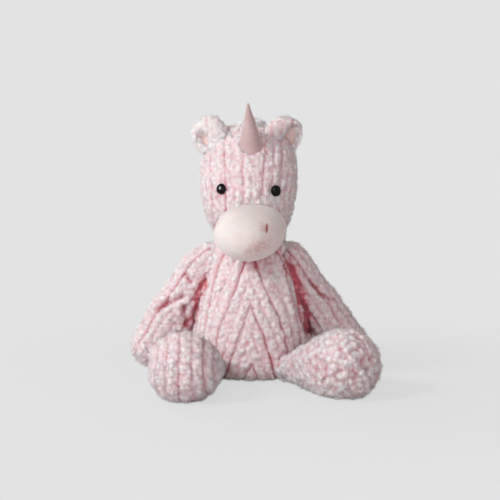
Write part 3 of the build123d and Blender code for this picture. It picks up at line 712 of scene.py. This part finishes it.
# its underside is flatter at the rear and fuller in front
muzzle.P[..., 1] *= np.where(muzzle.P[..., 1] < 0, 0.92 + 0.15 * ramp(muzzle.P[..., 2], -20, 12), 1.0)
muzzle.move(MUZZLE_AT, NOSE[:, 0], NOSE[:, 2], -NOSE[:, 1])
muzzle.raise_by(0.5 * drift(muzzle.rest, 22, 51) + 0.12 * drift(muzzle.rest, 5, 52))
KNOT = (7, -6.5)  # a small ring of thread, in the muzzle's x and z
for x, z, depth, wide in ((*KNOT, 0.9, 3.0), (20.6, 12, 1.1, 4.0), (-30, 10, 0.8, 4.0)):
    off = np.linalg.norm(muzzle.rest - MUZZLE_AT - NOSE @ np.array([x, muzzle_face(x, z), z]), axis=-1)
    muzzle.raise_by(-depth * np.exp(-(off / wide) ** 2))
    muzzle.bare = np.maximum(muzzle.bare, 0.9 * np.exp(-(off / (1.6 * wide)) ** 2))
patch_at = MUZZLE_AT + NOSE @ np.array([15, -38.0, -4])
off = (muzzle.rest - patch_at) @ NOSE
away = np.linalg.norm(off * (0.7, 0.7, 1.2), axis=-1)
muzzle.bare = np.maximum(muzzle.bare, 0.8 * np.exp(-(away / 10) ** 2))
done(muzzle, "muzzle_velour", "head", ["muzzle_upper", "muzzle_lower"], MUZZLE)


def surface_of_muzzle(x, z):
    """A point just under the muzzle's face, given in its own x and z."""
    at = np.array([x, muzzle_face(x, z), z])
    return MUZZLE_AT + NOSE @ (at - 0.6 * unit(at / np.array(MUZZLE_HALF) ** 2))


def tube(name, points, radii, material, sides=10, steps=40):
    """A closed tapering tube through points."""
    points, radii = np.array(points, float), np.array(radii, float)
    at = np.concatenate([[0], np.cumsum(np.linalg.norm(np.diff(points, axis=0), axis=1))])
    t = np.linspace(0, at[-1], steps)
    line = Skin.through(at, points, t)
    r = np.interp(t, at, radii)
    way = np.gradient(line, axis=0)
    way /= np.linalg.norm(way, axis=1, keepdims=True)
    x = np.cross(way, [0.3, 0.2, 0.93])
    x /= np.linalg.norm(x, axis=1, keepdims=True)
    y = np.cross(way, x)
    ring = [line + r[:, None] * (math.cos(a) * x + math.sin(a) * y) for a in TAU * np.arange(sides) / sides]
    ends = [line[0] - way[0] * r[0] * 0.6, line[-1] + way[-1] * r[-1] * 0.6]
    return Skin([(0, 0), (1, 1), (2, 0)], 1).put(np.stack(ring, 1), ends).mesh(name, material)


for side, s in SIDES.items():
    out, up = {"left": (20.6, 12.2), "right": (31.3, 8.0)}[side]
    bow = [(-0.7, 4.4), (0.2, 2.4), (0.8, 0), (1.0, -2.4), (0.6, -4.6)]
    line = [surface_of_muzzle(s * (out + x), up + z) for x, z in bow]
    slit = tube("nostril_slit_" + side, line, [0.5, 1.0, 1.2, 1.1, 0.5], NOSTRIL)
    settle(slit, "head", ["nostril_" + side])
turns = np.radians([50, 85, 120, 160, 200, 240, 275, 310])
ring = [surface_of_muzzle(KNOT[0] + 2.4 * math.cos(a), KNOT[1] + 3.6 * math.sin(a)) for a in turns]
knot = tube("muzzle_knot", ring, [0.4] + [0.75] * 6 + [0.4],
            thread_material("knot_thread", rgb(190, 128, 124), rgb(212, 160, 154)))
settle(knot, "head")

# horn
x, y, z = along(HORN_AT, HORN_END)
horn = Skin([(-14, 0), (-13.5, 8), (-10, 12.2), (-4, 13.2, 12.6), (0, 12.9, 12.2), (6, 11.7, 11.0), (12, 9.9, 9.5),
             (19, 8.0, 7.8), (28, 5.7, 5.6), (37, 3.3), (43, 2.1), (46.3, 1.4), (47.2, 0.7), (47.4, 0)],
            0.6).move(HORN_AT, x, y, z)
horn.raise_by(0.5 * drift(horn.rest, 14, 61) + 0.12 * drift(horn.rest, 4, 62))
done(horn, "horn_velour", "head", ["horn_cover", "horn_stuffing"], HORN)

# ears: each is a fluffy blade rolled round a narrow velour opening
EAR_PAINTED_LIGHT = {"left": 0.16, "right": 0.38}  # how much paler its pile is: painted light, the right ear, on the lit side, paler than the left
EAR_AT = {"left": (30.4, 0.5, 238.0), "right": (37.5, 1.5, 238.0)}  # x is outwards
EAR_TURN, EAR_LEAN = 28, {"left": 22, "right": 28}  # outwards round z, and sideways, degrees
EAR_HALF, EAR_UP, EAR_DOWN = 17.8, 21.5, 14.0  # half width, and reach up and down, mm
OPENING = {"left": (7.4, 0.5, 7.2, 14.5), "right": (6.0, 2.3, 4.8, 6.7)}  # centre x and z, half sizes
SHALLOW = {"left": 0.2, "right": 2.4}  # how much less deep the opening is
BLADE = [(0, 0, 1, 1.5), (0.6, 0, 1, 1.0), (0.95, 0, 1, -1.5), (1.05, 0.03, 1, -4.6), (1.2, 0.14, 1, -7.2),
         (1.2, 0.4, 1, -8.4), (1.2, 0.7, 1, -7.6), (1.2, 0.92, 1, -4.4), (1.2, 1, 1, 0), (1, 1, 0.93, 3.6),
         (1, 1, 0.75, 6.3), (1, 1, 0.45, 7.6), (1, 1, 0.2, 8.0), (1, 1, 0, 8.0)]
SHEET = [(0, 0, 1, 0.9), (0.6, 0, 1, 0.3), (0.93, 0, 1, -2.0), (1.0, 0, 1, -3.6), (0.99, 0, 1, -3.9),
         (0.9, 0, 1, -2.4), (0.6, 0, 1, -0.4), (0, 0, 1, 0.2)]


def ear_skin(side, profile, step):
    """A bowl in an ear's own frame, from the opening's middle to the middle of the back.

    profile rows are (share of the opening, way to the outline, share of the outline, depth along -y)."""
    s = SIDES[side]
    rows = np.array(profile, float)
    rows[:, 3] -= SHALLOW[side] * np.clip((rows[:, 3] + 7) / 8.5, 0, 1) * (rows[:, 1] < 0.5)
    cx, cz, hx, hz = OPENING[side]
    size = (np.abs(np.diff(rows[:, :3], axis=0)) * (hz, 12, 18)).sum(1)
    at = np.concatenate([[0], np.cumsum(np.hypot(size, np.diff(rows[:, 3])))])
    skin = Skin([(0, 0), (1, 19), (2, 0)], step)
    count = int(at[-1] / step)
    angle = TAU * np.arange(skin.nu) / skin.nu * np.ones((count, 1))
    fine = Skin.through(at, rows, np.linspace(0, at[-1], count + 2))
    m, w, k, depth = (fine[1:-1, i][:, None] for i in range(4))
    c, q = np.cos(angle), np.sin(angle)
    tall = np.where(q > 0, EAR_UP, EAR_DOWN)
    # the left ear's upper outer corner is squarer
    corner = 0.2 * w * np.tanh(4 * c) * np.clip(q * 3, 0, 1) * (side == "left")
    c, q = (np.sign(v) * np.abs(v) ** (1 - 0.22 * w - corner) for v in (c, q))
    local = np.stack([(1 - w) * (s * cx + m * hx * c) + w * k * EAR_HALF * c,
                      depth * np.ones_like(c),
                      (1 - w) * (cz + m * hz * q) + w * k * tall * q + w * (1 - k) * 6], -1)
    a, b = math.radians(s * EAR_TURN), math.radians(s * EAR_LEAN[side])
    rz = np.array([[math.cos(a), -math.sin(a), 0], [math.sin(a), math.cos(a), 0], [0, 0, 1]])
    ry = np.array([[math.cos(b), 0, math.sin(b)], [0, 1, 0], [-math.sin(b), 0, math.cos(b)]])
    placed = local @ (ry @ rz).T + np.array(EAR_AT[side]) * (s, 1, 1)
    skin.put(placed, [placed[0].mean(0), placed[-1].mean(0)])
    skin.bare[:np.argmax((m * (1 - w))[:, 0] > 0.97)] = 1  # no pile inside the opening
    return skin


for side in SIDES:
    ear = ear_skin(side, BLADE, 0.8)
    ear.plush(ear.rest[..., 0] * 0.9, 71 + SIDES[side], rib=0.5, tuft=1.2, tuft_size=5.2)
    ear.pile = np.clip(ear.pile + EAR_PAINTED_LIGHT[side], 0, 1)
    done(ear, "ear_plush_fur_" + side, "ear_" + side, ["ear_plush_" + side])
    pile = fuzz("ear_pile_" + side, ear, 7000, FIBRE, 75 + SIDES[side], long=2.2, width=0.22, lean=(0, 0, 0.1))
    settle(pile, "ear_" + side)
    lining = ear_skin(side, SHEET, 0.5).mesh("ear_velour_lining_" + side, LINING)
    settle(lining, "ear_" + side, ["ear_lining_" + side])

# mane: a thick tufted strip of white pile over the crown and down the nape
head_line = np.array([(-4, 248.6), (8, 249.6), (18, 248.6), (27, 244.5), (34, 237.5), (40, 226), (44, 208),
                      (45, 190), (41.5, 170)])  # (y, z) of the crown and nape
at = np.concatenate([[0], np.cumsum(np.linalg.norm(np.diff(head_line, axis=0), axis=1))])
MANE_STEP = 0.9
mane = Skin([(0, 0), (1, 10), (2, 0)], MANE_STEP)
count = int(at[-1] / MANE_STEP)
t = np.linspace(0, at[-1], count + 2)
yz = Skin.through(at, head_line, t)
way = np.gradient(yz, axis=0)
way /= np.linalg.norm(way, axis=1, keepdims=True)
full = (np.sin(math.pi * t / at[-1]) ** 0.4)[1:-1, None]
angle = TAU * np.arange(mane.nu) / mane.nu * np.ones((count, 1))
MANE_HALF, MANE_THICK = 15.5, 6.5  # half width and half thickness, mm
lift = 0.5 + MANE_THICK * full * np.sin(angle)
back, up = yz[1:-1, :1] - lift * way[1:-1, 1:], yz[1:-1, 1:] + lift * way[1:-1, :1]
mane.put(np.stack([MANE_HALF * full * np.cos(angle), back, up], -1), [[0, *yz[0]], [0, *yz[-1]]])
mane.plush(np.full(angle.shape, RIB / 2), 81, rib=0.5, tuft=3.6, tuft_size=7.0)
done(mane, "mane_tufts", "head", ["mane_pile", "mane_tape"], COTTON)
settle(fuzz("mane_fuzz", mane, 12000, WHITE, 83, long=2.6, lean=(0, 0.1, -0.2), spread=0.7),
       "head")

# ---------------------------------------------------------------- neck

neck = Skin([(126, 0, 0, 0, 8), (127, 22, 21, 0, 8), (132, 31, 30, 0, 8), (139, 34.5, 32.5, 0, 7.5),
             (146, 33, 31.5, 0, 6), (152, 24, 22, 0, 6), (154, 0, 0, 0, 6)], 1.1, turn=BACK)
neck.plush((neck.angle - FRONT) * neck.radius, 91, rib=1.6, tuft=1.2)
# painted shade: the neck, under the head, is given a rosier, darker pile
neck.pile = np.clip(neck.pile - 0.2, 0, 1)
done(neck, "neck_plush", "neck", ["neck_stuffing"])
settle(fuzz("neck_pile", neck, 9000, FIBRE, 95), "neck")

# ---------------------------------------------------------------- arms

UPPER_ARM = {"left": [(-3, 16, 16, 0, 1.5), (7, 19, 19, 0, 2.5), (22, 20.4, 20.4, 0, 1.6),
                      (42, 20.8), (66, 21.2), (90, 21.0)],
             "right": [(-4, 14.5, 14, 0, 1.6), (6, 18.2, 18.4, 0, 3.4), (22, 21.2, 22.2, 0, 4.2),
                       (42, 22, 22.8, 0, 3), (66, 22, 22.6, 0, 2.2), (90, 21.8, 22.4, 0, 1.6)]}
FOLDS = {"left": [([(60, 96), (70, 84), (84, 76)], 2.0, 2.4)],
         "right": [([(-92, 68), (-80, 75), (-67, 81)], 3.0, 2.6), ([(-66, 71), (-64, 51)], 2.4, 2.6),
                   ([(-64, 102), (-60, 96)], 1.8, 2.6)]}
for side, s in SIDES.items():
    top, hand = arm_line(side)
    x, y, z = along(top, hand)
    long = np.linalg.norm(hand - top)
    rows = [(-9, 0), (-7.5, 9), *UPPER_ARM[side], (long - 4, 21.2), (long + 7, 18.8), (long + 14, 13.6),
            (long + 17.6, 7), (long + 18.4, 0)]
    arm = Skin(rows, STEP).move(top, x, y, z)
    arm.plush(arm.angle / TAU * 13 * RIB + RIB / 2, 101 + 20 * s, rib=2.2)
    # painted shade, with the pile partly spread apart, where the arm lies against the torso and the foot
    parted_and_shaded(arm, gap_to_torso(arm.rest), 6, armpit_shade(arm, side))
    parted_and_shaded(arm, near_line(arm.rest, HIPS[side], FEET[side]) - FOOT_HALF, 6, 0.5)
    # folds with painted shade in them
    for fold in FOLDS[side]:
        shaded_crease(arm, *fold)
    arm.floor()
    start, end = (top + z * 6) * MM, (top + z * 66) * MM
    bend = ("torso", "arm_" + side, tuple(start), tuple(end))
    nodes = [f"arm_{p}_{side}" for p in ("front", "back", "stuffing")]
    done(arm, "arm_plush_" + side, "arm_" + side, nodes, bend=bend)
    settle(fuzz("arm_pile_" + side, arm, 21000, FIBRE, 105 + s, long=3.0), "arm_" + side, bend=bend)

# ---------------------------------------------------------------- legs

LEG_ROWS = [(-11, 0), (-9.5, 6), (-4, 10.4), (4, 11.6), (12, 13.2), (24, 17.4), (36, 21.2), (50, 25), (64, 29.8),
            (78, 31.8), (90, 31.4), (100, 27.6), (107, 21.5), (111, 14), (112.6, 6), (112.9, 0)]
SOLE = 34.0  # the ribs follow a curve of this radius over a sole, mm
for side, s in SIDES.items():
    hip, foot = HIPS[side], FEET[side]
    x, y, z = along(hip, foot)
    leg = Skin(LEG_ROWS, STEP).move(hip, x, y, z)
    if side == "right":
        fan = 1 + 0.12 * ramp(leg.rest[..., 2], 50, 0)
        over = SOLE * np.arcsin(np.clip((leg.rest[..., 0] - foot[0]) / fan / SOLE, -0.93, 0.88)) + 3
        leg.plush(over, 111, rib=2.1, tuft=1.8, pitch=11.5, even=0.4)
    else:
        over = SOLE * np.arcsin(np.clip(((leg.rest - hip) @ x) / SOLE, -0.9, 0.9))
        # this foot is on the shaded side: the pile between its tufts is darkened further, partly the rose backing
        # and partly painted shade
        leg.plush(over, 131, rib=1.3, tuft=3.0, tuft_size=6.2, fade=0.4, gap_shade=0.35)
    # painted shade, with the pile partly spread apart, where the leg lies against the torso
    parted_and_shaded(leg, gap_to_torso(leg.rest), 7, 0.2)
    leg.floor()
    bend = ("torso", "leg_" + side, tuple(hip * MM), tuple((hip + z * 26) * MM))
    nodes = [f"leg_{p}_{side}" for p in ("upper", "lower", "stuffing")]
    done(leg, "leg_plush_" + side, "leg_" + side, nodes, bend=bend)
    settle(fuzz("leg_pile_" + side, leg, 26000, FIBRE, 115 + s, long=3.0), "leg_" + side, bend=bend)

# ---------------------------------------------------------------- tail

tail_at = np.array([0, 56.11, 30.0])
sag = math.radians(13)
x, y, z = along(tail_at, tail_at + np.array([0, math.cos(sag), -math.sin(sag)]) * 62)
tail = Skin([(-5, 0), (-3, 4.5), (4, 7), (14, 9.5), (26, 11.5), (38, 12), (48, 10), (56, 6), (61, 2.5), (63, 0)],
            0.9).move(tail_at, x, y, z)
tail.plush(np.full(tail.angle.shape, RIB / 2), 121, rib=0.5, tuft=3.6, tuft_size=7.0)
tail.floor()
done(tail, "tail_tufts", "tail", ["tail_core", "tail_pile"], COTTON)
settle(fuzz("tail_fuzz", tail, 11000, WHITE, 123, long=4.0, lean=0.9 * z, spread=0.6,
            keep=lambda p: p[:, 1] > 60.5), "tail")

# ---------------------------------------------------------------- what stays of the CAD

FIBREFILL = plain_material("fibrefill", rgb(232, 232, 230), rgb(248, 248, 247), 0.95, 240, Sheen_Weight=0.3)
CLOTH = plain_material("pouch_cloth", rgb(216, 211, 205), rgb(232, 228, 223), 0.9, 1800)
PELLETS = plain_material("pellets", rgb(214, 214, 214), rgb(240, 240, 240), 0.5, 420)
NYLON = plain_material("washer_nylon", rgb(226, 226, 220), rgb(238, 238, 233), 0.45, 900)
INNER = {"torso_stuffing": FIBREFILL, "head_stuffing": FIBREFILL, "muzzle_stuffing": FIBREFILL,
         "seat_pouch": CLOTH, "seat_pellets": PELLETS, "back_closing_stitches": STITCH}
for side in SIDES:
    INNER.update({"eye_washer_" + side: NYLON, "foot_pouch_" + side: CLOTH, "foot_pellets_" + side: PELLETS})
for node, material in INNER.items():
    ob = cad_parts[node]
    if not ob.material_slots:
        ob.data.materials.append(material)
    for place in ob.material_slots:
        place.material = material

# ---------------------------------------------------------------- light, floor and camera


GREY = rgb(227, 227, 227)


def backdrop_material():
    """The object's light falls on it, and away from the object it is the photograph's even pale grey."""
    s = Shader("studio_floor")
    s.colour(s.ramp(s.noise(2.0), [(0.4, rgb(226, 226, 226)), (0.6, rgb(228, 228, 228))]))
    s.set(Roughness=0.95)
    glow = s.add("ShaderNodeEmission")
    glow.inputs[0].default_value = GREY
    path = s.add("ShaderNodeLightPath")
    where = s.add("ShaderNodeTexCoord")
    length = s.add("ShaderNodeVectorMath", operation="LENGTH")
    s.link(where.outputs["Object"], length.inputs[0])
    away = s.add("ShaderNodeMapRange", interpolation_type="SMOOTHSTEP")
    s.link(length.outputs["Value"], away.inputs[0])
    for socket, value in zip(list(away.inputs)[1:5], (0.1, 0.45, 0.8, 1.0)):
        socket.default_value = value
    pick = s.add("ShaderNodeMixShader")
    through = s.math("MAXIMUM", path.outputs["Is Glossy Ray"], path.outputs["Is Transmission Ray"])
    direct = s.math("MAXIMUM", path.outputs["Is Camera Ray"], through)
    s.link(s.math("MULTIPLY", direct, away.outputs[0]), pick.inputs[0])
    s.link(s.body.outputs[0], pick.inputs[1])
    s.link(glow.outputs[0], pick.inputs[2])
    s.link(pick.outputs[0], s.out.inputs[0])
    return s.material


bpy.ops.mesh.primitive_plane_add(size=8, location=(0, 0, 0))
ground = bpy.context.active_object
ground.name = "floor"
ground.data.materials.append(backdrop_material())

world = bpy.data.worlds.new("studio")
bpy.context.scene.world = world
world.use_nodes = True
tree = world.node_tree
tree.nodes.clear()
out = tree.nodes.new("ShaderNodeOutputWorld")
soft, seen = tree.nodes.new("ShaderNodeBackground"), tree.nodes.new("ShaderNodeBackground")
pick, path = tree.nodes.new("ShaderNodeMixShader"), tree.nodes.new("ShaderNodeLightPath")
soft.inputs[0].default_value = (1.0, 0.88, 0.87, 1)
soft.inputs[1].default_value = 0.39
seen.inputs[0].default_value = GREY
either, direct = tree.nodes.new("ShaderNodeMath"), tree.nodes.new("ShaderNodeMath")
either.operation = direct.operation = "MAXIMUM"
tree.links.new(path.outputs["Is Camera Ray"], either.inputs[0])
tree.links.new(path.outputs["Is Glossy Ray"], either.inputs[1])
tree.links.new(either.outputs[0], direct.inputs[0])
tree.links.new(path.outputs["Is Transmission Ray"], direct.inputs[1])
tree.links.new(direct.outputs[0], pick.inputs[0])
tree.links.new(soft.outputs[0], pick.inputs[1])
tree.links.new(seen.outputs[0], pick.inputs[2])
tree.links.new(pick.outputs[0], out.inputs[0])


def lamp(name, place, aim, size, watts, colour=(1, 1, 1)):
    data = bpy.data.lights.new(name, "AREA")
    data.shape, data.size, data.energy, data.color = "DISK", size, watts, colour
    ob = bpy.data.objects.new(name, data)
    ob.location = place
    ob.rotation_euler = (Vector(aim) - Vector(place)).to_track_quat("-Z", "Y").to_euler()
    bpy.context.scene.collection.objects.link(ob)


lamp("key", (-1.1, -0.8, 0.95), (0, 0, 0.14), 0.4, 12.8, (0.94, 1.0, 1.0))
lamp("front", (-0.4, -1.7, 0.8), (0, 0, 0.12), 0.7, 4.8)
lamp("low", (0.3, -1.6, 0.3), (0, 0, 0.07), 0.8, 1.8)
lamp("rim", (-0.9, 1.1, 0.9), (0, 0, 0.15), 0.7, 7)

camera = bpy.data.cameras.new("camera")
camera.sensor_width = 36
camera.lens = 108
camera_ob = bpy.data.objects.new("camera", camera)
look = Vector((0, 0, 0.126))
distance, tilt = 1.5, math.radians(7)
camera_ob.location = look + Vector((0, -distance * math.cos(tilt), distance * math.sin(tilt)))
camera_ob.rotation_euler = (look - camera_ob.location).to_track_quat("-Z", "Y").to_euler()
bpy.context.scene.collection.objects.link(camera_ob)
bpy.context.scene.camera = camera_ob
bpy.context.scene.view_settings.view_transform = "Standard"
